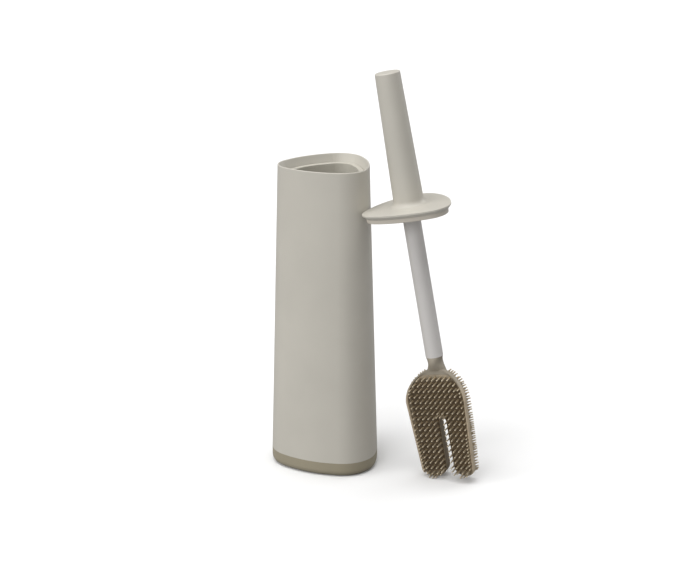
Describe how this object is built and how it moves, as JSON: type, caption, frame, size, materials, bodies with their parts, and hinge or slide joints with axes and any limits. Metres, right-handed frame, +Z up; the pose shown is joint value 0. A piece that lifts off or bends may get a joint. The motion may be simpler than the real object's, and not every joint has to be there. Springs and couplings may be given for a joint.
{
  "type": "toilet brush holder",
  "caption": "Slim freestanding toilet brush holder of rounded triangular plan, with its two-fingered soft-bristled brush leaning beside it.",
  "frame": {"origin": "middle of the holder's flat foot, at floor level", "axes": "+Z up along the holder, one rounded corner of its plan toward -X and a flat side toward +X, the brush standing on the +X side"},
  "size_m": [0.1985, 0.1419, 0.4015],
  "materials": {
    "shell": "satin",
    "liner": "satin",
    "base": "satin",
    "boot": "matte",
    "grip": "satin",
    "plug": "satin",
    "stem": "satin",
    "head": "matte",
    "front_bristles": "matte",
    "rear_bristles": "matte"
  },
  "bodies": {
    "holder_body": {"outer_shell": "shell", "base_plate": "base", "base_boot": "boot"},
    "liner_body": {"inner_liner": "liner"},
    "brush_body": {"handle": "grip", "lid_plug": "plug", "stem_tube": "stem", "head_core": "head", "front_bristle_mat": "front_bristles", "rear_bristle_mat": "rear_bristles"}
  },
  "joints": [
    {"name": "liner_lift", "type": "slide", "parent": "holder_body", "child": "liner_body", "axis": [0, 0, 1], "range_m": [0, 0.3]},
    {"name": "brush_lift", "type": "slide", "parent": "holder_body", "child": "brush_body", "axis": [0, 0, 1], "range_m": [0, 0.33]}
  ]
}
